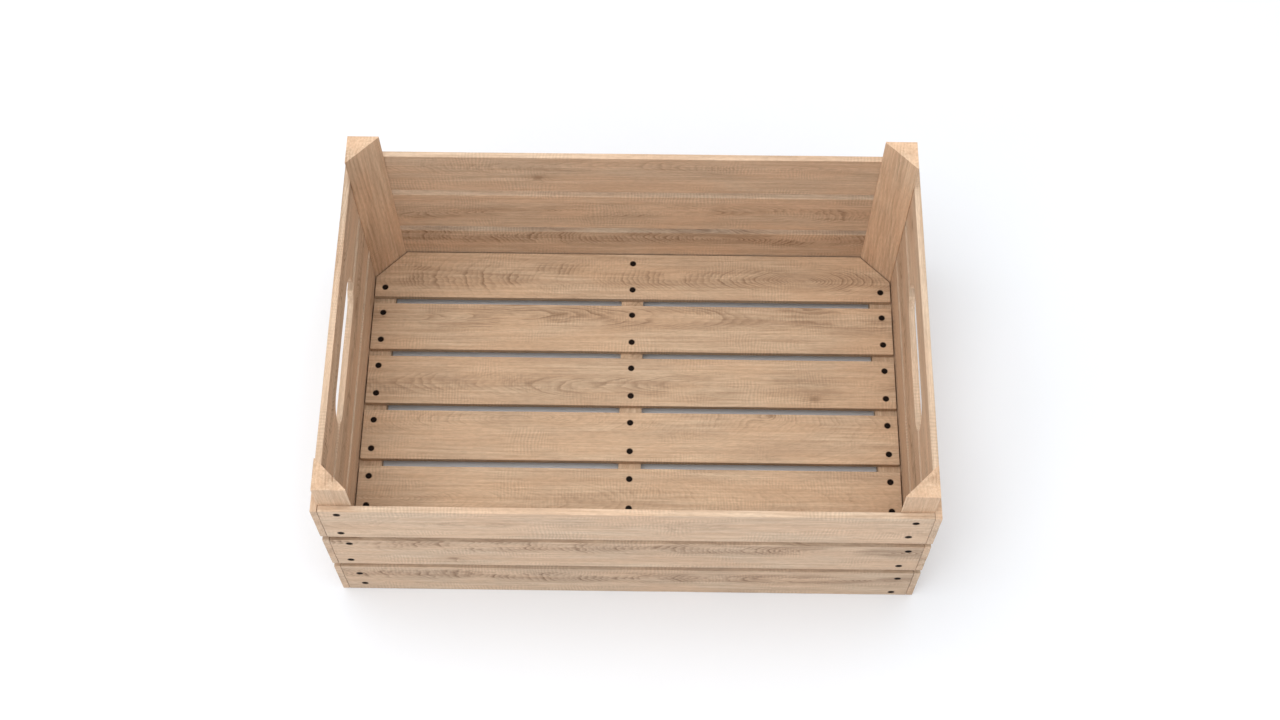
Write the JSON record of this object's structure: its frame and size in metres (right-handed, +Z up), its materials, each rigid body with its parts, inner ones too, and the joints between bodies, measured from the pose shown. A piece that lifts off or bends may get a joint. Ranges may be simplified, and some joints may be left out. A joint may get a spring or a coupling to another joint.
{
  "type": "apple crate",
  "caption": "Open wooden fruit crate with gapped slat walls, triangular corner posts that stand above the rim for stacking, and a hand-hole in each end.",
  "frame": {"origin": "middle of the underside, in the plane that the crate stands on", "axes": "+X along the crate's length, +Y across it from the front wall to the back wall, +Z up"},
  "size_m": [0.59, 0.4, 0.25],
  "materials": {
    "slat_wood": "raw sawn",
    "post_wood": "raw sawn",
    "floor_wood": "raw sawn",
    "nail_steel": "dark"
  },
  "bodies": {
    "root": {"front_slat_bottom": "slat_wood", "front_slat_middle": "slat_wood", "front_slat_top": "slat_wood", "right_slat_bottom": "slat_wood", "right_slat_middle": "slat_wood", "right_slat_top": "slat_wood", "back_slat_bottom": "slat_wood", "back_slat_middle": "slat_wood", "back_slat_top": "slat_wood", "left_slat_bottom": "slat_wood", "left_slat_middle": "slat_wood", "left_slat_top": "slat_wood", "post_front_left": "post_wood", "post_front_right": "post_wood", "post_back_left": "post_wood", "post_back_right": "post_wood", "batten_left": "floor_wood", "batten_middle": "floor_wood", "batten_right": "floor_wood", "floor_board_1": "floor_wood", "floor_board_2": "floor_wood", "floor_board_3": "floor_wood", "floor_board_4": "floor_wood", "floor_board_5": "floor_wood", "floor_board_6": "floor_wood", "front_nails": "nail_steel", "right_nails": "nail_steel", "back_nails": "nail_steel", "left_nails": "nail_steel", "floor_nails": "nail_steel"}
  },
  "joints": []
}
